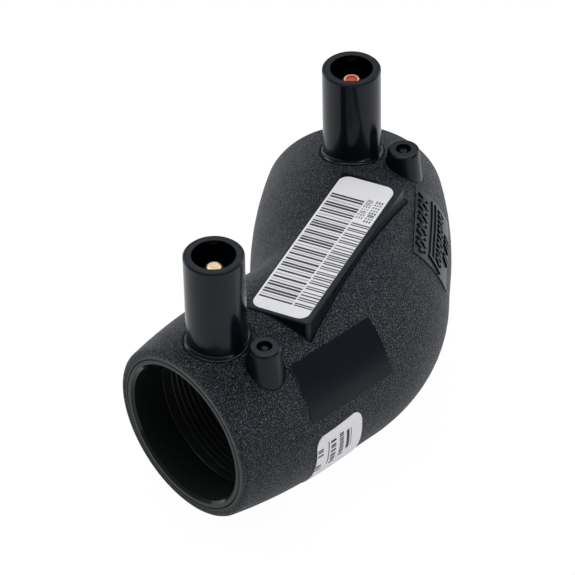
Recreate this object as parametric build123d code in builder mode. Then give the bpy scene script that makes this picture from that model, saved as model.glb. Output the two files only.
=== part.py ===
from build123d import *
import math
import os

# A 45 degree electrofusion elbow for 32 mm pipe, moulded in black polyethylene.
# The origin lies on the near socket's axis where its straight bore starts.
# The near socket opens towards -Y, the elbow turns towards -X, the terminals stand along +Z.

# run of the elbow
bend_angle = 45
inner_bend_radius = 1.6
lead_in = 0.6

# sockets and flow passage
pipe_radius = 16.0
socket_clearance = 0.2
socket_depth = 34.4
stop_length = 3.2
passage_radius = 13.4
mouth_wall = 3.7
mouth_rounding = 1.2
barrel_wall = 6.15
barrel_station = 24.0
bend_wall = 5.8
groove_inset = 1.6
groove_size = 0.22

# resistance winding: coated turns fused to a thin sleeve, in a shallow recess of the bore
winding_start = 7.9
winding_pitch = 1.4
winding_turns = 10
ridge_height = 0.3
ridge_crest = 0.5
sleeve_thickness = 0.2
link_radius = 0.45
link_cover = 1.9
link_inset = 0.9

# terminal towers
tower_margin = 3.5
tower_height = 21.15
tower_root = 5.0
tower_root_fillet = 0.9
rim_chamfer = 0.3
shroud_radius = 4.65
shroud_wall = 1.8
shroud_depth = 16.0
pin_radius = 2.0
pin_drop = 2.95
pin_collar_radius = 2.9
pin_collar_height = 3.0
pin_tail_radius = 1.5
pin_tip_rounding = 0.8
pin_tip_chamfer = 0.3
marker_radius = 1.2
marker_depth = 0.8
marker_drop = 0.1
marker_chamfer = 0.25

# fusion indicator bosses
boss_setback = 3.15
boss_angle = 30.7
boss_rise = 1.5
boss_radius = 3.5
boss_height = 9.6
boss_draft = 5.5
boss_rounding = 0.75
boss_hole_radius = 1.7
boss_hole_depth = 8.2
indicator_clearance = 0.2
indicator_drop = 0.3
indicator_rounding = 1.2

# flank panels, one on each leg's outer side
panel_start = 17.3
panel_overrun = 2.8
panel_low_angle = 15.5
panel_high_angle = 50.5
panel_rise = 0.15
panel_root = 3.0

# label pad across the bend
pad_rise = 0.25
pad_root = 4.75
pad_length = 49.8
pad_width = 14.6
pad_shift = -4.9
pad_corner = 0.8
pad_draft = 5
pad_edge = 0.2

# paper labels
paper = 0.15
label_corner = 2.3
barcode_side_margin = 0.85
barcode_end_margin = 1.05
barcode_shift = (-0.3, -0.25)
size_label_station = 24.9
size_label_width = 12.9
size_label_span = 25.9
size_label_tilt = 4.5
size_label_middle_angle = -30

# derived sizes
half_turn = math.radians(bend_angle / 2)
bore_radius = pipe_radius + socket_clearance
mouth_radius = bore_radius + mouth_wall
barrel_radius = bore_radius + barrel_wall
bend_body_radius = bore_radius + bend_wall
bend_radius = bend_body_radius + inner_bend_radius
bend_start = socket_depth + stop_length
mouth_to_crossing = bend_start + bend_radius * math.tan(half_turn)
groove_radius = bore_radius + groove_inset
recess_radius = bore_radius + ridge_height + sleeve_thickness
recess_end = winding_start + winding_turns * winding_pitch
link_height = recess_radius + link_cover
tower_radius = shroud_radius + shroud_wall
tower_top = barrel_radius + tower_height
terminal_station = tower_margin + tower_radius
shroud_floor = tower_top - shroud_depth
pin_top = tower_top - pin_drop
boss_top = barrel_radius + boss_rise
boss_station = terminal_station + boss_setback
boss_offset = barrel_radius * math.sin(math.radians(boss_angle))
panel_end = bend_start + panel_overrun
panel_sweep = panel_high_angle - panel_low_angle
pad_height = barrel_radius + pad_rise

# The elbow is its own mirror image about the plane that halves the bend.
across = Vector(math.cos(half_turn), math.sin(half_turn), 0)
along_chord = Vector(-math.sin(half_turn), math.cos(half_turn), 0)
crossing = Vector(0, mouth_to_crossing, 0)
bisector = Plane(origin=crossing, x_dir=across, z_dir=along_chord)
bend_axis = Axis((-bend_radius, bend_start, 0), (0, 0, 1))
bend_section = Plane(origin=(0, bend_start, 0), x_dir=(1, 0, 0), z_dir=(0, 1, 0))
tower_plane = Plane(origin=(0, terminal_station, 0))
boss_plane = Plane(origin=(boss_offset, boss_station, 0))
pad_plane = Plane(origin=crossing, x_dir=across, z_dir=(0, 0, 1))


def wall_radius(station):
    """Outer radius of the barrel at a station along its axis."""
    rise = barrel_radius - mouth_radius
    run = barrel_station + lead_in
    arc = (run**2 + rise**2) / (2 * rise)
    return barrel_radius - arc + math.sqrt(arc**2 - (barrel_station - station) ** 2)


def barrel_line(first_station, rise):
    """Outline of the leg from a station on its barrel to the bend, raised by rise."""
    middle_station = (first_station + barrel_station) / 2
    ThreePointArc(
        (wall_radius(first_station) + rise, first_station),
        (wall_radius(middle_station) + rise, middle_station),
        (barrel_radius + rise, barrel_station),
    )
    Spline(
        (barrel_radius + rise, barrel_station),
        (bend_body_radius + rise, bend_start),
        tangents=((0, 1), (0, 1)),
    )


# route of the wire between the windings, buried above the bores
far_leg = Vector(-math.sin(2 * half_turn), math.cos(2 * half_turn), 0)
link_run = mouth_to_crossing - recess_end + link_inset
link_near = crossing - Vector(0, link_run, 0)
link_far = crossing + far_leg * link_run
at_winding = Vector(0, 0, recess_radius)
at_link = Vector(0, 0, link_height)
link_points = [
    link_near + at_winding,
    link_near + at_link,
    crossing + at_link,
    link_far + at_link,
    link_far + at_winding,
]
link_foot = Plane(origin=link_near + at_winding)
far_tower_plane = Plane(origin=crossing + far_leg * (mouth_to_crossing - terminal_station))

# The size label faces outward and down, square to its middle.
label_slope = math.radians(size_label_middle_angle)
size_label_plane = Plane(
    origin=(0, size_label_station, 0),
    x_dir=(0, 1, 0),
    z_dir=(math.cos(label_slope), 0, math.sin(label_slope)),
)

# Flat pad that carries the barcode label, drafted and with a bevelled rim.
with BuildPart() as label_pad:
    with BuildSketch(pad_plane.offset(pad_height)):
        with Locations((pad_shift, 0)):
            RectangleRounded(pad_width, pad_length, pad_corner)
    extrude(amount=-(pad_rise + pad_root), taper=-pad_draft)
    chamfer(edges().group_by(Axis.Z)[-1], pad_edge)

# Moulded body: one leg is made and mirrored, and the bend joins the two.
with BuildPart() as elbow_body:
    # barrel-shaped outside of the leg, as a solid of revolution
    with BuildSketch(Plane.XY) as leg_profile:
        with BuildLine():
            Polyline(
                (bend_body_radius, bend_start), (0, bend_start), (0, -lead_in), (mouth_radius, -lead_in)
            )
            barrel_line(-lead_in, 0)
        make_face()
        mouth_corner = leg_profile.vertices().sort_by_distance((mouth_radius, -lead_in))[0]
        fillet(mouth_corner, mouth_rounding)
    revolve(axis=Axis.Y)

    # smooth panel, raised a little above the grained flank
    with BuildSketch(Plane.XY.rotated((0, -panel_low_angle, 0))):
        with BuildLine():
            barrel_line(panel_start, panel_rise)
            Polyline(
                (bend_body_radius + panel_rise, bend_start),
                (bend_body_radius + panel_rise, panel_end),
                (bend_body_radius - panel_root, panel_end),
                (bend_body_radius - panel_root, panel_start),
                (wall_radius(panel_start) + panel_rise, panel_start),
            )
        make_face()
    revolve(axis=Axis.Y, revolution_arc=-panel_sweep)

    # terminal tower with a rounded foot
    with BuildSketch(tower_plane.offset(tower_top)):
        Circle(tower_radius)
    extrude(amount=-(tower_height + tower_root))
    tower_side = faces().filter_by(GeomType.CYLINDER).sort_by(Axis.Z)[-1]
    fillet(tower_side.edges().sort_by(Axis.Z)[0], tower_root_fillet)

    # drafted indicator boss with a rounded rim
    with BuildSketch(boss_plane.offset(boss_top)):
        Circle(boss_radius)
    extrude(amount=-boss_height, taper=-boss_draft)
    boss_side = faces().filter_by(GeomType.CONE).sort_by(Axis.Z)[-1]
    fillet(boss_side.edges().filter_by(GeomType.CIRCLE).sort_by(Axis.Z)[-1], boss_rounding)

    # bore, winding recess, stop and flow passage of the leg, with the parting groove of its end face
    with BuildSketch(Plane.XY):
        with BuildLine():
            Polyline(
                (0, -2 * lead_in),
                (bore_radius + lead_in, -2 * lead_in),
                (bore_radius + lead_in, -lead_in),
                (bore_radius, 0),
                (bore_radius, winding_start),
                (recess_radius, winding_start),
                (recess_radius, recess_end),
                (bore_radius, recess_end),
                (bore_radius, socket_depth),
                (passage_radius, socket_depth),
                (passage_radius, bend_start),
                (0, bend_start),
                (0, -2 * lead_in),
            )
        make_face()
    revolve(axis=Axis.Y, mode=Mode.SUBTRACT)
    with BuildSketch(Plane.XY):
        with Locations((groove_radius, -lead_in)):
            Rectangle(groove_size, groove_size * 2, rotation=45)
    revolve(axis=Axis.Y, mode=Mode.SUBTRACT)

    # shroud round the pin, and the seat that the pin's collar and tail are moulded into
    with BuildSketch(tower_plane.offset(tower_top)):
        Circle(shroud_radius)
    extrude(amount=-shroud_depth, mode=Mode.SUBTRACT)
    with BuildSketch(tower_plane.offset(shroud_floor)):
        Circle(pin_collar_radius)
    extrude(amount=-pin_collar_height, mode=Mode.SUBTRACT)
    with BuildSketch(tower_plane.offset(shroud_floor)):
        Circle(pin_tail_radius)
    extrude(amount=bore_radius - shroud_floor, mode=Mode.SUBTRACT)
    rim = edges().filter_by(GeomType.CIRCLE).group_by(Axis.Z)[-1].sort_by(SortBy.RADIUS)[-1]
    chamfer(rim, rim_chamfer)

    # blind hole of the fusion indicator
    with BuildSketch(boss_plane.offset(boss_top)):
        Circle(boss_hole_radius)
    extrude(amount=-boss_hole_depth, mode=Mode.SUBTRACT)

    mirror(about=bisector)

    # bend between the legs, with its flow passage
    with BuildSketch(bend_section):
        Circle(bend_body_radius)
        Circle(passage_radius, mode=Mode.SUBTRACT)
    revolve(axis=bend_axis, revolution_arc=bend_angle)

    # the pad lies across the bend
    add(label_pad.part)

    # channel in which the wire between the two windings is buried
    with BuildLine() as link_route:
        Polyline(*link_points)
    with BuildSketch(link_foot):
        Circle(link_radius)
    sweep(path=link_route.line, transition=Transition.RIGHT, mode=Mode.SUBTRACT)
elbow_body.part.label = "elbow_body"

# Wire between the windings: up out of one, along the wall, round the bend and down to the other.
with BuildPart() as coil_link:
    with BuildLine() as link_route:
        Polyline(*link_points)
    with BuildSketch(link_foot):
        Circle(link_radius)
    sweep(path=link_route.line, transition=Transition.RIGHT)
coil_link.part.label = "coil_link"

# Near winding: a thin sleeve with one low ridge for each coated turn.
with BuildPart() as heating_coil_near:
    with BuildSketch(Plane.XY):
        with Locations((recess_radius - sleeve_thickness / 2, (winding_start + recess_end) / 2)):
            Rectangle(sleeve_thickness, recess_end - winding_start)
        for turn in range(winding_turns):
            foot = winding_start + turn * winding_pitch
            with BuildLine():
                Polyline(
                    (bore_radius + ridge_height, foot),
                    (bore_radius, foot + (winding_pitch - ridge_crest) / 2),
                    (bore_radius, foot + (winding_pitch + ridge_crest) / 2),
                    (bore_radius + ridge_height, foot + winding_pitch),
                    close=True,
                )
            make_face()
    revolve(axis=Axis.Y)
heating_coil_near.part.label = "heating_coil_near"

# Far winding: the near one's mirror image.
with BuildPart() as heating_coil_far:
    mirror(heating_coil_near.part, about=bisector)
heating_coil_far.part.label = "heating_coil_far"

# Blank of the terminal pins: collar moulded into the tower, tail down to the winding.
with BuildPart() as pin_blank:
    with BuildSketch(tower_plane.offset(recess_radius)):
        Circle(pin_tail_radius)
    extrude(amount=shroud_floor - recess_radius)
    with BuildSketch(tower_plane.offset(shroud_floor)):
        Circle(pin_collar_radius)
    extrude(amount=-pin_collar_height)
    with BuildSketch(tower_plane.offset(shroud_floor)):
        Circle(pin_radius)
    extrude(amount=pin_top - shroud_floor)

# Near terminal pin, with a domed tip.
with BuildPart() as terminal_pin_near:
    add(pin_blank.part)
    fillet(edges().group_by(Axis.Z)[-1], pin_tip_rounding)
terminal_pin_near.part.label = "terminal_pin_near"

# Far terminal pin, with a cup in its tip for the red marker.
with BuildPart() as terminal_pin_far:
    mirror(pin_blank.part, about=bisector)
    chamfer(edges().group_by(Axis.Z)[-1], pin_tip_chamfer)
    with BuildSketch(far_tower_plane.offset(pin_top)):
        Circle(marker_radius)
    extrude(amount=-marker_depth, mode=Mode.SUBTRACT)
terminal_pin_far.part.label = "terminal_pin_far"

# Red marker disc with a chamfered edge, seated in the far pin's cup.
with BuildPart() as pin_marker_far:
    with BuildSketch(far_tower_plane.offset(pin_top - marker_depth)):
        Circle(marker_radius)
    extrude(amount=marker_depth - marker_drop)
    chamfer(edges().group_by(Axis.Z)[-1], marker_chamfer)
pin_marker_far.part.label = "pin_marker_far"

# Fusion indicators: slim pins with domed tips, standing on the floor of the boss holes.
with BuildPart() as fusion_indicator_near:
    with BuildSketch(boss_plane.offset(boss_top - boss_hole_depth)):
        Circle(boss_hole_radius - indicator_clearance)
    extrude(amount=boss_hole_depth - indicator_drop)
    fillet(edges().group_by(Axis.Z)[-1], indicator_rounding)
fusion_indicator_near.part.label = "fusion_indicator_near"

with BuildPart() as fusion_indicator_far:
    mirror(fusion_indicator_near.part, about=bisector)
fusion_indicator_far.part.label = "fusion_indicator_far"

# Barcode label on the pad.
with BuildPart() as barcode_label:
    with BuildSketch(pad_plane.offset(pad_height)):
        with Locations((pad_shift + barcode_shift[0], barcode_shift[1])):
            RectangleRounded(
                pad_width - 2 * barcode_side_margin,
                pad_length - 2 * barcode_end_margin,
                label_corner,
            )
    extrude(amount=paper)
barcode_label.part.label = "barcode_label"

# Size label: a skin on the barrel of the near leg, cut out by a rounded rectangle seen square on.
with BuildPart() as size_label:
    with BuildSketch(Plane.XY):
        with BuildLine():
            barrel_line(-lead_in, 0)
            Line((bend_body_radius, bend_start), (bend_body_radius + paper, bend_start))
            barrel_line(-lead_in, paper)
            Line((mouth_radius + paper, -lead_in), (mouth_radius, -lead_in))
        make_face()
    revolve(axis=Axis.Y)
    with BuildSketch(size_label_plane):
        RectangleRounded(size_label_width, size_label_span, label_corner, rotation=size_label_tilt)
    extrude(amount=2 * barrel_radius, mode=Mode.INTERSECT)
size_label.part.label = "size_label"

pieces = (
    elbow_body,
    coil_link,
    heating_coil_near,
    heating_coil_far,
    terminal_pin_near,
    terminal_pin_far,
    pin_marker_far,
    fusion_indicator_near,
    fusion_indicator_far,
    barcode_label,
    size_label,
)
os.makedirs("parts", exist_ok=True)
for piece in pieces:
    export_step(piece.part, f"parts/{piece.part.label}.step")
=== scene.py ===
import math
import random

import bpy
from mathutils import Matrix, Vector


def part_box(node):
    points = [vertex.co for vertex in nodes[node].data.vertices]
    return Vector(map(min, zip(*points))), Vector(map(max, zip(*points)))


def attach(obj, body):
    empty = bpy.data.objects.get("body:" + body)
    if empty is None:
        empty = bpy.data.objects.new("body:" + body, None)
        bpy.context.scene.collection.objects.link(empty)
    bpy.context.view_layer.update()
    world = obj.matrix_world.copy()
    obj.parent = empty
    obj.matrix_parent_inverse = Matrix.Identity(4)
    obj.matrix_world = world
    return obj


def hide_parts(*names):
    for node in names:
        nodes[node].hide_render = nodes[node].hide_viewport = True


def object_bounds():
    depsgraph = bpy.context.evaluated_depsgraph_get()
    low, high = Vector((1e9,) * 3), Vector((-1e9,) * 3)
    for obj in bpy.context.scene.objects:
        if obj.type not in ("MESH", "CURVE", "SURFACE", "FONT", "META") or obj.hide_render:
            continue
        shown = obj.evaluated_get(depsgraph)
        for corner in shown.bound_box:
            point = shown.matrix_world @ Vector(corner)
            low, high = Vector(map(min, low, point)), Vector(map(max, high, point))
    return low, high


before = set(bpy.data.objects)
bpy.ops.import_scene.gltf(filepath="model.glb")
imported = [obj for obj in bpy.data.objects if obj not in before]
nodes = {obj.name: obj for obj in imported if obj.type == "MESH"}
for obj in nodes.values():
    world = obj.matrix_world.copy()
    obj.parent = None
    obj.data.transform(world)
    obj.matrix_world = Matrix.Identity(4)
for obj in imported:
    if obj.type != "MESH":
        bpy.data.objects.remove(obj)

cad_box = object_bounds()
MM = 0.001


def mm(*sizes):
    """Sizes given in millimetres, as a tuple in metres."""
    return tuple(size * MM for size in sizes)


# Run of the elbow
half_turn = math.radians(45 / 2)
bend_start = 37.6 * MM
bend_radius = 23.6 * MM
crossing_y = bend_start + bend_radius * math.tan(half_turn)
crossing = Vector((0, crossing_y, 0))
across = Vector((math.cos(half_turn), math.sin(half_turn), 0))
along = Vector((-math.sin(half_turn), math.cos(half_turn), 0))
near_axis = Vector((0, 1, 0))
far_axis = Vector((-math.sin(2 * half_turn), math.cos(2 * half_turn), 0))
upright = Vector((0, 0, 1))

# Barrel and mouth of a leg
barrel_radius = 22.35 * MM
inside_radius = 18.4 * MM
lip_start = -0.3 * MM
lip_radius = 18.5 * MM
bore_edge_end = 0.05 * MM
bore_edge_span = mm(16.1, 16.75)
# Span of the parting groove, which is darkened as painted shade.
parting_shade_span = mm(17.62, 17.98)

# Winding
winding_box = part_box("heating_coil_near")
winding_length = winding_box[1].y - winding_box[0].y
winding_middle = (winding_box[0].y + winding_box[1].y) / 2
recess_radius = 16.7 * MM
sleeve_wall = 0.2 * MM
wire_radius = 0.17 * MM
wire_ring = 16.51 * MM
wire_start = 1.9 * MM
wire_pitch = 1.33 * MM
wire_turns = 8
bead_radius = 0.24 * MM

# Terminal tower and indicator boss of a leg
pin_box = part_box("terminal_pin_near")
tower_y = (pin_box[0].y + pin_box[1].y) / 2
tower_top_z = cad_box[1][2]
tower_root_z = 19.0 * MM
tower_radius = 6.45 * MM
tower_foot_fillet = 0.9 * MM
tower_rim_depth = 0.35 * MM
shroud_radius = 4.65 * MM
# Span of the painted shade line round a tower's rim.
rim_shade_span = mm(5.85, 5.97)
indicator_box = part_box("fusion_indicator_near")
boss_x = (indicator_box[0].x + indicator_box[1].x) / 2
boss_y = (indicator_box[0].y + indicator_box[1].y) / 2
boss_top_z = 23.85 * MM
boss_root_z = 14.0 * MM
boss_radius = 3.5 * MM
boss_draft = math.tan(math.radians(5.5))

# Label pad, flank panels and labels
label_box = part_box("barcode_label")
label_top_z = label_box[1].z
pad_root_z = 17.5 * MM
pad_shift = -4.9 * MM
pad_half_width = 7.3 * MM
pad_half_length = 24.9 * MM
pad_bevel = 0.45 * MM
pad_draft = math.tan(math.radians(5))
# Span of the painted shade line along the pad's outer foot.
crease_shade_span = mm(0.02, 0.42)
panel_start = 17.3 * MM
panel_end = 40.4 * MM
panel_low = math.radians(15.5)
panel_high = math.radians(50.5)
relief_slope = math.radians(33)
relief_lean = math.radians(24)
size_label_y = 24.9 * MM
size_label_slope = math.radians(-30)
size_label_tilt = math.radians(4.5)
relief_height = 0.35 * MM
relief_root = 0.1 * MM
relief_bevel = 0.07 * MM
ink_thickness = 0.03 * MM
ink_lift = 0.01 * MM
drawing_clearance = 3 * MM

# Surface of the moulding
grain_cell = 0.42 * MM
grain_speck = 0.3 * MM
grain_depth = 0.8 * MM
peel_size = 1.6 * MM
peel_depth = 0.006 * MM
patch_size = 6 * MM
mask_margin = 0.1 * MM

# Camera
view_azimuth = math.radians(48.12)
view_elevation = math.radians(40.63)
view_roll = math.radians(-1.24)
view_distance = 0.83967
view_target = Vector((-8, 39.4, 8)) * MM
image_size = 575
focal_pixels = 3877.8
shift_pixels = (7.82, 15.52)
sensor_width = 36

# Studio
light_distance = 1.2
light_tint = (0.96, 0.98, 1.0)
ambient = 0.16
gloss_share = 0.05
floor_gloss_share = 0.6
floor_radius = 3
floor_shade = 0.85
floor_seen_shade = 0.9
floor_glow = 1.02
floor_glow_share = 0.96

# Colours
cool_gloss = (0.86, 0.93, 1.0, 1)
blue_black = (0.0035, 0.0055, 0.0085, 1)
# Colour of bright specks on the grain: painted glints standing in for its sparkle.
glint_speck_colour = (0.0945, 0.1008, 0.1155, 1)
# The body's black, made lighter and greener inside the bore: painted fill light where little light
# reaches.
bore_painted_fill = (0.012, 0.016, 0.0135, 1)
coat_tint = (0.9, 1.1, 1)
wire_dark = (0.42, 0.3948, 0.3612, 1)
wire_bright = (0.62, 0.589, 0.5456, 1)
brass_dark = (0.5, 0.34, 0.18, 1)
brass_bright = (0.8, 0.66, 0.44, 1)
copper_dark = (0.6, 0.24, 0.12, 1)
copper_bright = (0.93, 0.48, 0.28, 1)
marker_dark = (0.42, 0.02, 0.01, 1)
marker_bright = (0.72, 0.07, 0.03, 1)


def grey(value, tint=(1, 1, 1)):
    """A grey of this value, tinted if asked, as a colour with full alpha."""
    return tuple(value * part for part in tint) + (1,)


# Shader helpers
class Socket:
    """An output socket that takes part in Python expressions."""

    def __init__(self, finish, link):
        self.finish = finish
        self.link = link

    def maths(self, operation, *values):
        """A Math node on these values."""
        sockets = dict(enumerate(values))
        return self.finish.node("ShaderNodeMath", {"operation": operation}, sockets)

    def __add__(self, other):
        return self.maths("ADD", self, other)

    __radd__ = __add__

    def __sub__(self, other):
        return self.maths("SUBTRACT", self, other)

    def __rsub__(self, other):
        return self.maths("SUBTRACT", other, self)

    def __mul__(self, other):
        return self.maths("MULTIPLY", self, other)

    __rmul__ = __mul__

    def __abs__(self):
        return self.maths("ABSOLUTE", self)

    def root(self):
        """Square root."""
        return self.maths("SQRT", self)

    def angle(self, other):
        """Angle of the point (other, self), as math.atan2 gives it."""
        return self.maths("ARCTAN2", self, other)

    def larger(self, other):
        """The larger of the two, which for masks is their union."""
        return self.maths("MAXIMUM", self, other)

    def step(self, edge, softness):
        """0 below edge and 1 above it, with a soft change."""
        ramp = {"interpolation_type": "SMOOTHSTEP"}
        sockets = {"Value": self, "From Min": edge - softness, "From Max": edge + softness}
        return self.finish.node("ShaderNodeMapRange", ramp, sockets)

    def within(self, low, high, softness):
        """1 between low and high, and 0 outside."""
        return self.step(low, softness) * (1 - self.step(high, softness))


class Finish:
    """A procedural material round one Principled shader."""

    def __init__(self, name, **constants):
        self.material = bpy.data.materials.new(name)
        self.material.use_nodes = True
        self.tree = self.material.node_tree
        self.shader = self.tree.nodes["Principled BSDF"]
        self.feed(**constants)

    @classmethod
    def over(cls, tree):
        """The same helpers on a node tree that has no Principled shader, such as the world's."""
        finish = cls.__new__(cls)
        finish.tree = tree
        return finish

    def node(self, kind, settings=None, sockets=None, output=0):
        """A node of any kind: its settings first, then its sockets' values or links."""
        node = self.tree.nodes.new(kind)
        for setting, value in (settings or {}).items():
            setattr(node, setting, value)
        for socket, value in (sockets or {}).items():
            self.plug(node.inputs[socket], value)
        return Socket(self, node.outputs[output])

    def plug(self, socket, value):
        """Links an input to another socket, or sets it to a plain value."""
        if isinstance(value, Socket):
            self.tree.links.new(value.link, socket)
        else:
            socket.default_value = value

    def feed(self, **inputs):
        """Inputs of the Principled shader, by their names with underscores."""
        for socket, value in inputs.items():
            self.plug(self.shader.inputs[socket.replace("_", " ")], value)

    def place(self):
        """Object coordinates, and their three parts in metres."""
        point = self.node("ShaderNodeTexCoord", output="Object")
        parts = [
            self.node("ShaderNodeSeparateXYZ", sockets={"Vector": point}, output=axis)
            for axis in "XYZ"
        ]
        return point, *parts

    def vector(self, x, y, z):
        """A vector of three parts."""
        return self.node("ShaderNodeCombineXYZ", sockets={"X": x, "Y": y, "Z": z})

    def noise(self, point, size, detail=2, roughness=0.5):
        """Soft noise from 0 to 1, with lumps of about the size given."""
        sockets = {"Vector": point, "Scale": 1 / size, "Detail": detail, "Roughness": roughness}
        return self.node("ShaderNodeTexNoise", sockets=sockets, output="Fac")

    def blend(self, share, low, high):
        """Colour between low and high. The Mix node's colour sockets go by their places."""
        sockets = {0: share, 6: low, 7: high}
        return self.node("ShaderNodeMix", {"data_type": "RGBA"}, sockets, output=2)

    def bump(self, height, depth, under=None):
        """Normal of a relief whose height runs from 0 to depth, on top of another if given."""
        sockets = {"Height": height, "Distance": depth, "Strength": 1.0}
        if under is not None:
            sockets["Normal"] = under
        return self.node("ShaderNodeBump", sockets=sockets)


def distance(first, second):
    """Length of a diagonal from its two sides."""
    return (first * first + second * second).root()


def on_near_leg(x, y):
    """Coordinates folded about the elbow's mirror plane, so that both legs read as the near one."""
    chord = x * along.x + (y - crossing_y) * along.y
    fold = chord.larger(0) * 2
    return x - fold * along.x, y - fold * along.y, chord


# Masks of the body's places
def tower_masks(leg_x, leg_y, z):
    """A terminal tower, its flat rim, the shroud inside it and the painted shade line round its
    rim.
    """
    gap = distance(leg_x, leg_y - tower_y)
    standing = z.step(tower_root_z, 0.5 * MM)
    tower = (1 - gap.step(tower_radius + tower_foot_fillet * 0.9, 0.25 * MM)) * standing
    rim = tower * z.step(tower_top_z - tower_rim_depth, 0.05 * MM)
    # The inside of the shroud, which is darkened below as painted shade.
    shroud = (1 - gap.step(shroud_radius + mask_margin, 0.05 * MM)) * standing
    # Painted shade: a dark line round the tower's rim.
    rim_shade = gap.within(*rim_shade_span, 0.06 * MM) * z.step(tower_top_z - 0.2 * MM, 0.05 * MM)
    return tower, rim, shroud, rim_shade


def boss_mask(leg_x, leg_y, z):
    """An indicator boss, which widens downwards with its draft."""
    gap = distance(leg_x - boss_x, leg_y - boss_y)
    side = boss_radius + (boss_top_z - z) * boss_draft + 0.12 * MM
    return (1 - (gap - side).step(0, 0.08 * MM)) * z.step(boss_root_z, 0.5 * MM)


def pad_masks(x, y, z, chord):
    """The label pad, its bevelled rim and the painted shade along the crease at its outer foot."""
    over = x * across.x + (y - crossing_y) * across.y - pad_shift
    flare = (label_top_z - z) * pad_draft
    beyond = (abs(over) - pad_half_width).larger(abs(chord) - pad_half_length) - flare
    standing = z.step(pad_root_z, 0.3 * MM)
    pad = (1 - beyond.step(0.1 * MM, 0.06 * MM)) * standing
    rim = beyond.within(-pad_bevel, 0.05 * MM, 0.05 * MM)
    rim = rim * z.step(label_top_z - pad_bevel, 0.05 * MM)
    # Painted shade: a near-black line along the pad's outer foot.
    crease_shade = beyond.within(*crease_shade_span, 0.08 * MM) * standing * over.step(0, 2 * MM)
    return pad, rim, crease_shade


def panel_mask(leg_x, leg_y, z):
    """A smooth flank panel."""
    turn = z.angle(leg_x)
    around = turn.within(panel_low, panel_high, 0.004)
    return around * leg_y.within(panel_start, panel_end, 0.08 * MM)


def mouth_masks(leg_y, off_axis):
    """The inside of a leg, the smooth lip of its mouth, the bore's edge and the painted shade in
    the parting groove.
    """
    inside = 1 - off_axis.step(inside_radius, 0.1 * MM)
    lip = (1 - leg_y.step(lip_start, 0.2 * MM)) * (1 - off_axis.step(lip_radius, 0.4 * MM))
    bore_edge = off_axis.within(*bore_edge_span, 0.05 * MM)
    bore_edge = bore_edge * (1 - leg_y.step(bore_edge_end, 0.1 * MM))
    # Painted shade in the parting groove.
    parting_shade = off_axis.within(*parting_shade_span, 0.06 * MM) * lip
    return inside, lip, bore_edge, parting_shade


# Finishes
def moulded_polyethylene():
    """Black moulded body: spark grain outside, smooth towers, bosses, pad, panels and bores."""
    finish = Finish("moulded_polyethylene", Specular_IOR_Level=0.25, Specular_Tint=cool_gloss)
    point, x, y, z = finish.place()
    leg_x, leg_y, chord = on_near_leg(x, y)
    tower, tower_rim, shroud, rim_shade = tower_masks(leg_x, leg_y, z)
    boss = boss_mask(leg_x, leg_y, z)
    pad, pad_rim, crease_shade = pad_masks(x, y, z, chord)
    panel = panel_mask(leg_x, leg_y, z)
    inside, lip, bore_edge, parting_shade = mouth_masks(leg_y, distance(leg_x, z))
    grain = 1 - tower.larger(boss).larger(pad).larger(panel).larger(inside).larger(lip)

    cells = finish.node(
        "ShaderNodeTexVoronoi", {"feature": "SMOOTH_F1"},
        {"Vector": point, "Scale": 1 / grain_cell, "Smoothness": 0.3}, output="Distance",
    )
    fine = finish.noise(point, grain_speck, detail=1, roughness=0.6)
    patches = finish.noise(point, patch_size)
    pits = cells * 0.6 + fine * 0.8
    relief = finish.bump(pits * grain * (1 - crease_shade), grain_depth)
    orange_peel = finish.noise(point, peel_size, detail=1)
    normal = finish.bump(orange_peel, peel_depth, under=relief)

    # Bright specks on the grain's tips are painted glints, standing in for the grain's sparkle
    # under the lights.
    painted_glints = grain * fine.step(0.57, 0.05) * (1 - crease_shade)
    outside = finish.blend(painted_glints, blue_black, glint_speck_colour)
    # Inside the bore the black plastic is made lighter: painted fill light.
    shade = finish.blend(inside, outside, bore_painted_fill)
    rough = 0.3 + grain * 0.14 + (patches - 0.5) * 0.1 + pad_rim * 0.25
    rough = rough - tower * 0.12 + tower_rim * 0.2 - bore_edge * 0.2
    # Painted shade: metallic black makes the pad's foot, the rim line, the parting groove and the
    # inside of the shrouds near black.
    painted_shade = crease_shade.larger(rim_shade).larger(parting_shade * 0.8).larger(shroud * 0.9)
    finish.feed(Base_Color=shade, Roughness=rough, Metallic=painted_shade, Normal=normal)
    return finish.material


def coated_winding():
    """Black coat over the turns, with a trace of green and an uneven gloss."""
    finish = Finish("coated_winding", Specular_IOR_Level=0.5)
    lines = finish.noise(finish.place()[0], 1.4 * MM, detail=3)
    finish.feed(
        Base_Color=finish.blend(lines, grey(0.015, coat_tint), grey(0.035, coat_tint)),
        Roughness=0.3 + lines * 0.25,
        Normal=finish.bump(lines, 0.02 * MM),
    )
    return finish.material


def drawn_wire():
    """Bare resistance wire, lightly oxidised."""
    finish = Finish("drawn_wire", Metallic=1.0)
    marks = finish.noise(finish.place()[0], 0.3 * MM, detail=3)
    finish.feed(
        Base_Color=finish.blend(marks, wire_dark, wire_bright),
        Roughness=0.3 + marks * 0.2,
        Normal=finish.bump(marks, 0.01 * MM),
    )
    return finish.material


def turned_metal(name, dark, bright):
    """Metal of a contact pin, with turning rings and fine tarnish."""
    finish = Finish(name, Metallic=1.0)
    point, x, y, z = finish.place()
    leg_x, leg_y, chord = on_near_leg(x, y)
    off_pin = distance(leg_x, leg_y - tower_y)
    rings = finish.noise(finish.vector(off_pin, off_pin, z), 0.12 * MM)
    tarnish = finish.noise(point, 0.9 * MM, detail=3)
    finish.feed(
        Base_Color=finish.blend(tarnish, dark, bright),
        Roughness=0.22 + rings * 0.12 + tarnish * 0.08,
        Normal=finish.bump(rings, 0.006 * MM),
    )
    return finish.material


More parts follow.
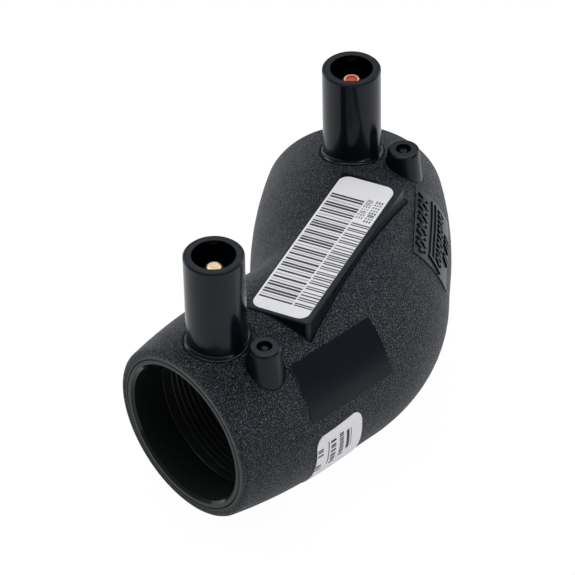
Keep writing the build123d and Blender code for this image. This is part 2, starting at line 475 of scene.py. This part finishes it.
def red_marker():
    """Glossy red insert of the far pin."""
    finish = Finish("red_marker", Coat_Weight=0.6)
    lumps = finish.noise(finish.place()[0], 0.5 * MM)
    finish.feed(
        Base_Color=finish.blend(lumps, marker_dark, marker_bright),
        Roughness=0.2 + lumps * 0.15,
        Normal=finish.bump(lumps, 0.02 * MM),
    )
    return finish.material


def indicator_plastic():
    """Black indicator pins, a little glossier than the body."""
    finish = Finish("indicator_plastic", Specular_IOR_Level=0.12)
    lumps = finish.noise(finish.place()[0], 0.7 * MM)
    finish.feed(
        Base_Color=finish.blend(lumps, grey(0.002), grey(0.006)),
        Roughness=0.08 + lumps * 0.08,
        Normal=finish.bump(lumps, 0.01 * MM),
    )
    return finish.material


def label_stock(name, low, high):
    """White coated label film, with a trace of fibre and handling."""
    finish = Finish(name, Specular_IOR_Level=0.4)
    point = finish.place()[0]
    fibre = finish.noise(point, 0.35 * MM, detail=4, roughness=0.65)
    cloud = finish.noise(point, 9 * MM)
    clean = fibre * 0.5 + cloud * 0.5
    finish.feed(
        Base_Color=finish.blend(clean, grey(low, (1, 0.98, 1.01)), grey(high, (1, 0.985, 1.02))),
        Roughness=0.42 + cloud * 0.16,
        Normal=finish.bump(fibre, 0.008 * MM),
    )
    return finish.material


def printing_ink(name, value):
    """Thermal print, slightly broken up."""
    finish = Finish(name, Specular_IOR_Level=0.4)
    wear = finish.noise(finish.place()[0], 0.25 * MM, detail=3)
    finish.feed(
        Base_Color=finish.blend(wear.step(0.62, 0.08), grey(value), grey(value + 0.08)),
        Roughness=0.4 + wear * 0.15,
        Normal=finish.bump(wear, 0.004 * MM),
    )
    return finish.material


def dress(name, material):
    """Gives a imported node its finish."""
    slots = nodes[name].data.materials
    slots.clear()
    slots.append(material)


# Modelling helpers
def pick(*pieces):
    """Leaves edit mode and selects these pieces alone, the last one active."""
    if bpy.context.object and bpy.context.object.mode != "OBJECT":
        bpy.ops.object.mode_set(mode="OBJECT")
    bpy.ops.object.select_all(action="DESELECT")
    for piece in pieces:
        piece.select_set(True)
    if pieces:
        bpy.context.view_layer.objects.active = pieces[-1]


def start(name, add, **settings):
    """A new primitive, named and alone in the selection."""
    pick()
    add(**settings)
    piece = bpy.context.object
    piece.name = name
    piece.data.name = name
    return piece


def finish_piece(piece, material, smooth_angle=30):
    """Place goes into the mesh, normals point outwards, and the piece gets its finish."""
    pick(piece)
    bpy.ops.object.transform_apply(location=True, rotation=True, scale=True)
    bpy.ops.object.mode_set(mode="EDIT")
    bpy.ops.mesh.select_all(action="SELECT")
    bpy.ops.mesh.normals_make_consistent(inside=False)
    bpy.ops.object.mode_set(mode="OBJECT")
    bpy.ops.object.shade_smooth_by_angle(angle=math.radians(smooth_angle))
    piece.data.materials.clear()
    piece.data.materials.append(material)
    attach(piece, "root")
    return piece


def patch(width, length, x, y, slant=0.0, cuts=0):
    """A patch of a drawing, from its sizes and place in millimetres."""
    return mm(width, length, x, y) + (slant, cuts)


def add_patch(width, length, x, y, slant=0.0, cuts=0):
    """In edit mode: one flat patch on the drawing plane, slanted and divided if asked."""
    bpy.ops.mesh.select_all(action="DESELECT")
    bpy.ops.mesh.primitive_plane_add(size=1, location=(x, y, 0))
    bpy.ops.transform.resize(value=(width, length, 1), center_override=(x, y, 0))
    if slant:
        bpy.ops.transform.rotate(value=slant, orient_axis="Z", center_override=(x, y, 0))
    if cuts:
        bpy.ops.mesh.subdivide(number_cuts=cuts)


def drawing(name, patches):
    """One flat piece of many patches: width, length, x and y, then slant and cuts if any."""
    piece = start(name, bpy.ops.mesh.primitive_plane_add, size=1, location=(0, 0, 0))
    bpy.ops.object.mode_set(mode="EDIT")
    bpy.ops.mesh.delete(type="VERT")
    for values in patches:
        add_patch(*values)
    bpy.ops.object.mode_set(mode="OBJECT")
    return piece


def modify(piece, kind, **settings):
    """A modifier, set and applied."""
    pick(piece)
    modifier = piece.modifiers.new(kind.lower(), kind)
    for setting, value in settings.items():
        setattr(modifier, setting, value)
    bpy.ops.object.modifier_apply(modifier=modifier.name)


def wrap(piece, frame_matrix, target, lift):
    """Lays a flat drawing onto a node's surface, straight down its own frame, lift above it."""
    piece.matrix_world = frame_matrix
    modify(
        piece, "SHRINKWRAP", target=nodes[target], wrap_method="PROJECT", use_project_z=True,
        use_negative_direction=True, use_positive_direction=False, offset=lift,
    )


def frame_at(origin, x_axis, y_axis):
    """Placing matrix of a drawing plane."""
    turn = Matrix((x_axis, y_axis, x_axis.cross(y_axis))).transposed().to_4x4()
    return Matrix.Translation(origin) @ turn


# Windings
def helical_winding(name, replaced, material, far=False):
    """A thin sleeve in the bore's recess, with the coated wire wound in a helix on its inside."""
    piece = start(
        name, bpy.ops.mesh.primitive_cylinder_add, vertices=128, radius=recess_radius,
        depth=winding_length, end_fill_type="NOTHING",
    )
    modify(piece, "SOLIDIFY", thickness=sleeve_wall, offset=-1)
    wire = start(
        "wire", bpy.ops.mesh.primitive_circle_add, vertices=10, radius=wire_radius,
        location=(wire_ring, 0, wire_start - winding_length / 2),
        rotation=(math.radians(90), 0, 0),
    )
    bpy.ops.object.transform_apply(location=True, rotation=True, scale=True)
    modify(
        wire, "SCREW", axis="Z", angle=2 * math.pi, screw_offset=wire_pitch,
        iterations=wire_turns, steps=96, render_steps=96, use_merge_vertices=True,
    )
    bpy.ops.object.mode_set(mode="EDIT")
    bpy.ops.mesh.select_all(action="SELECT")
    bpy.ops.mesh.fill_holes(sides=0)
    bpy.ops.object.mode_set(mode="OBJECT")
    bead = start(
        "bead", bpy.ops.mesh.primitive_torus_add, major_segments=128, minor_segments=8,
        major_radius=wire_ring - bead_radius / 2, minor_radius=bead_radius,
        location=(0, 0, bead_radius - winding_length / 2),
    )
    pick(wire, bead, piece)
    bpy.ops.object.join()
    middle = Vector((0, winding_middle, 0))
    inward = near_axis
    if far:
        middle = middle - along * 2 * (middle - crossing).dot(along)
        inward = -far_axis
    piece.matrix_world = frame_at(middle, upright, inward.cross(upright))
    finish_piece(piece, material, 40)
    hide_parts(replaced)


# Label print
def bar_row(rng, start_at, end_at, row, widths, near_gaps, far_gaps):
    """Upright bars along a row, in groups of one to three."""
    middle, height = row
    bars = []
    place = start_at
    while place < end_at:
        for _ in range(rng.choice((1, 2, 2, 3))):
            width = rng.choice(widths)
            if place + width < end_at:
                bars.append((height, width, middle, place + width / 2))
            place += width + rng.choice(near_gaps)
        place += rng.choice(far_gaps)
    return bars


def plain_marks(rng, count, middle, start_at, pitch, height, width, stroke):
    """A row of small plain marks in the scale of print: pairs of strokes, rungs and dots."""
    marks = []
    for index in range(count):
        place = start_at + index * pitch
        kind = rng.choice(("pair", "rungs", "dots", "pair", "rungs"))
        if kind == "pair":
            for side in (-1, 1):
                marks.append((height, stroke, middle, place + side * (width - stroke) / 2))
        else:
            long = width if kind == "rungs" else stroke * 1.5
            for rung in (-1, 0, 1):
                marks.append((stroke * 1.2, long, middle + rung * (height - stroke) / 2, place))
    return marks


def print_on_pad(name, patches, material):
    """Print on the pad's label, drawn with x outward across the bend and y along it."""
    piece = drawing(name, patches)
    modify(piece, "SOLIDIFY", thickness=ink_thickness, offset=1)
    piece.matrix_world = frame_at(crossing + upright * label_top_z, across, along)
    return finish_piece(piece, material)


def barcode_print(black, pale, fine):
    """Two rows of plain bars, hairlines in the wide gaps of one, and two rows of marks."""
    rng = random.Random(32)
    inner_row = mm(-7.3, 7.7)
    outer_row = mm(-0.9, 4.3)
    row_start = -20.6 * MM
    inner_end = 17.7 * MM
    outer_end = 9.9 * MM
    close = mm(0.3, 0.36)
    wide = mm(0.46, 0.52, 0.6)
    thin = mm(0.3, 0.36)
    wide_gap = 0.6 * MM
    hairline_share = 0.26

    inner_bars = bar_row(rng, row_start, inner_end, inner_row, wide, close, mm(0.7, 1.0, 1.3))
    print_on_pad("barcode_bars_inner", inner_bars, black)
    hairlines = []
    for bar, following in zip(inner_bars, inner_bars[1:]):
        height, width, middle, place = bar
        next_width, next_place = following[1], following[3]
        gap = next_place - place - (width + next_width) / 2
        if gap > wide_gap:
            hairlines.append((height, gap * hairline_share, middle, (place + next_place) / 2))
    print_on_pad("barcode_hairlines", hairlines, fine)

    outer_bars = bar_row(rng, row_start, outer_end, outer_row, thin, close, mm(0.36, 0.6))
    pale_bars = [bar for index, bar in enumerate(outer_bars) if index % 4]
    print_on_pad("barcode_bars_outer", pale_bars, pale)
    print_on_pad("barcode_strong_bars", outer_bars[::4], black)
    marks = plain_marks(rng, 7, *mm(-2.3, 11.5, 1.0, 1.35, 0.62, 0.17))
    marks += plain_marks(rng, 8, *mm(-0.15, 10.8, 0.98, 1.5, 0.7, 0.25))
    print_on_pad("barcode_marks", marks, black)


def size_print(black):
    """Rows of plain marks, a rule and a bar on the curved label, turned as the label is."""
    rng = random.Random(45)
    outward = Vector((math.cos(size_label_slope), 0, math.sin(size_label_slope)))
    upward = Vector((-math.sin(size_label_slope), 0, math.cos(size_label_slope)))
    frame_matrix = frame_at(
        near_axis * size_label_y + outward * (barrel_radius + drawing_clearance),
        near_axis * math.cos(size_label_tilt) + upward * math.sin(size_label_tilt),
        upward * math.cos(size_label_tilt) - near_axis * math.sin(size_label_tilt),
    )
    patches = [
        patch(0.22, 7.6, -3.25, 7.1, cuts=6),
        patch(0.8, 5.9, 2.25, 7.6, cuts=6),
        patch(0.13, 5.9, 3.2, 7.6, cuts=6),
    ]
    patches += plain_marks(rng, 6, *mm(-1.9, 3.1, 1.45, 1.35, 1.0, 0.4))
    patches += plain_marks(rng, 6, *mm(0.4, 4.0, 1.3, 1.2, 0.95, 0.36))
    patches += plain_marks(rng, 2, *mm(-5.5, 8.2, 1.4, 1.4, 0.95, 0.36))
    patches += plain_marks(rng, 2, *mm(-5.7, 3.0, 1.4, 1.4, 0.95, 0.36))
    piece = drawing("size_label_print", patches)
    wrap(piece, frame_matrix, "size_label", ink_lift)
    modify(piece, "SOLIDIFY", thickness=ink_thickness, offset=1)
    finish_piece(piece, black)


# Moulded relief of the far panel
def panel_relief(material):
    """Rows of plain raised bars and blocks with two long ribs between them."""
    sideways = Vector((far_axis.y, -far_axis.x, 0))
    outward = upright * math.sin(relief_slope) + sideways * math.cos(relief_slope)
    mouth = crossing + far_axis * crossing_y
    origin = mouth + outward * (barrel_radius + drawing_clearance)
    inward = -far_axis
    frame_matrix = frame_at(origin, inward, outward.cross(inward))
    patches = [patch(19.0, 0.42, 28.3, y, cuts=9) for y in (-1.57, -0.27)]
    patches.append(patch(0.7, 5.0, 38.3, 0.25, relief_lean, 3))
    for index in range(9):
        place = 20.4 + index * 2.1
        patches.append(patch(0.55, 3.1, place, -4.55, relief_lean, 2))
        if index % 2:
            patches.append(patch(0.6, 0.8, place + 0.95, -3.5, cuts=1))
            patches.append(patch(0.6, 0.8, place + 0.85, -5.5, cuts=1))
        else:
            patches.append(patch(0.9, 1.0, place + 1.0, -4.6, cuts=1))
    for index in range(11):
        place = 20.0 + index * 1.62
        patches.append(patch(0.5, 2.4, place, 1.75, relief_lean, 2))
        patches.append(patch(0.5, 0.7, place + 0.75, 1.2 + index % 3 * 0.5, cuts=1))
    for place in (25.4, 26.9, 28.4, 31.2, 32.4):
        patches.append(patch(0.6, 2.6, place, 4.9, relief_lean, 2))
    piece = drawing("panel_relief", patches)
    wrap(piece, frame_matrix, "elbow_body", -relief_root)
    modify(piece, "SOLIDIFY", thickness=relief_root + relief_height, offset=1)
    modify(piece, "BEVEL", width=relief_bevel, segments=2, limit_method="ANGLE")
    finish_piece(piece, material, 40)


# Camera, light and floor
def set_camera():
    """The photo's viewing angle, framing and roll."""
    flat = math.cos(view_elevation)
    forward = Vector((
        -math.sin(view_azimuth) * flat, math.cos(view_azimuth) * flat, -math.sin(view_elevation)
    ))
    level = Vector((math.cos(view_azimuth), math.sin(view_azimuth), 0))
    above = level.cross(forward)
    right = level * math.cos(view_roll) + above * math.sin(view_roll)
    up = above * math.cos(view_roll) - level * math.sin(view_roll)
    camera_data = bpy.data.cameras.new("photo_camera")
    camera_data.sensor_width = sensor_width
    camera_data.lens = focal_pixels / image_size * sensor_width
    camera_data.shift_x = -shift_pixels[0] / image_size
    camera_data.shift_y = shift_pixels[1] / image_size
    camera_data.clip_start = 0.01
    camera = bpy.data.objects.new("photo_camera", camera_data)
    turn = Matrix((right, up, -forward)).transposed().to_4x4()
    camera.matrix_world = Matrix.Translation(view_target - forward * view_distance) @ turn
    bpy.context.scene.collection.objects.link(camera)
    bpy.context.scene.camera = camera


def soft_light(name, power, size, azimuth, elevation):
    """A square soft light that faces the middle of the elbow, its angles in degrees."""
    azimuth = math.radians(azimuth)
    elevation = math.radians(elevation)
    direction = Vector((
        math.sin(azimuth) * math.cos(elevation),
        -math.cos(azimuth) * math.cos(elevation),
        math.sin(elevation),
    ))
    light_data = bpy.data.lights.new(name, "AREA")
    light_data.shape = "SQUARE"
    light_data.size = size
    light_data.energy = power
    light_data.color = light_tint
    light = bpy.data.objects.new(name, light_data)
    light.location = view_target + direction * light_distance
    light.rotation_euler = direction.to_track_quat("Z", "Y").to_euler()
    bpy.context.scene.collection.objects.link(light)


def background_share(finish, gloss):
    """1 for rays that see the background straight or through glass, and a part of it in gloss."""
    straight = finish.node("ShaderNodeLightPath", output="Is Camera Ray")
    through = finish.node("ShaderNodeLightPath", output="Is Transmission Ray")
    mirrored = finish.node("ShaderNodeLightPath", output="Is Glossy Ray")
    return straight.larger(through).larger(mirrored * gloss)


def set_world():
    """Dim even light all round, and plain white where the background itself is seen."""
    world = bpy.data.worlds.new("studio")
    bpy.context.scene.world = world
    world.use_nodes = True
    tree = Finish.over(world.node_tree)
    lit = world.node_tree.nodes["Background"]
    lit.inputs["Color"].default_value = grey(1, light_tint)
    lit.inputs["Strength"].default_value = ambient
    seen = tree.node("ShaderNodeBackground", sockets={"Color": grey(1), "Strength": 1})
    share = background_share(tree, gloss_share)
    sockets = {0: share, 1: Socket(tree, lit.outputs[0]), 2: seen}
    shown = tree.node("ShaderNodeMixShader", sockets=sockets)
    tree.plug(world.node_tree.nodes["World Output"].inputs["Surface"], shown)


def lay_floor():
    """Pale floor at the elbow's lowest point; it is seen near white and keeps a soft shadow."""
    floor = start(
        "floor", bpy.ops.mesh.primitive_circle_add, vertices=64, radius=floor_radius,
        fill_type="NGON", location=(0, 0, cad_box[0][2]),
    )
    finish = Finish("floor", Roughness=0.9, Specular_IOR_Level=0.1)
    seen = background_share(finish, floor_gloss_share)
    finish.feed(Base_Color=finish.blend(seen, grey(floor_shade), grey(floor_seen_shade)))
    glow = finish.node("ShaderNodeEmission", sockets={"Color": grey(1), "Strength": floor_glow})
    sockets = {0: seen * floor_glow_share, 1: Socket(finish, finish.shader.outputs[0]), 2: glow}
    shown = finish.node("ShaderNodeMixShader", sockets=sockets)
    finish.plug(finish.tree.nodes["Material Output"].inputs["Surface"], shown)
    floor.data.materials.append(finish.material)


set_camera()
bpy.context.scene.view_settings.view_transform = "Standard"
set_world()
soft_light("overhead_light", power=18, size=1.7, azimuth=228, elevation=76)
soft_light("left_light", power=2.5, size=0.5, azimuth=285, elevation=20)
soft_light("front_light", power=2, size=0.4, azimuth=92, elevation=12)
soft_light("right_light", power=2.8, size=0.5, azimuth=168, elevation=10)
lay_floor()

body_finish = moulded_polyethylene()
winding_finish = coated_winding()
brass_finish = turned_metal("turned_brass", brass_dark, brass_bright)
copper_finish = turned_metal("turned_copper", copper_dark, copper_bright)
indicator_finish = indicator_plastic()
barcode_stock = label_stock("barcode_stock", 0.7, 0.82)
# White label film; its extra whiteness over the barcode label's is painted fill light for a label
# that gets little light.
size_stock_painted_fill = label_stock("size_stock_painted_fill", 0.9, 0.97)
black_ink = printing_ink("black_ink", 0.012)
pale_ink = printing_ink("pale_ink", 0.05)
fine_ink = printing_ink("fine_ink", 0.42)

dress("elbow_body", body_finish)
helical_winding("winding_near", "heating_coil_near", winding_finish)
helical_winding("winding_far", "heating_coil_far", winding_finish, far=True)
dress("coil_link", drawn_wire())
dress("terminal_pin_near", brass_finish)
dress("terminal_pin_far", copper_finish)
dress("pin_marker_far", red_marker())
dress("fusion_indicator_near", indicator_finish)
dress("fusion_indicator_far", indicator_finish)
dress("barcode_label", barcode_stock)
dress("size_label", size_stock_painted_fill)
barcode_print(black_ink, pale_ink, fine_ink)
size_print(black_ink)
panel_relief(body_finish)
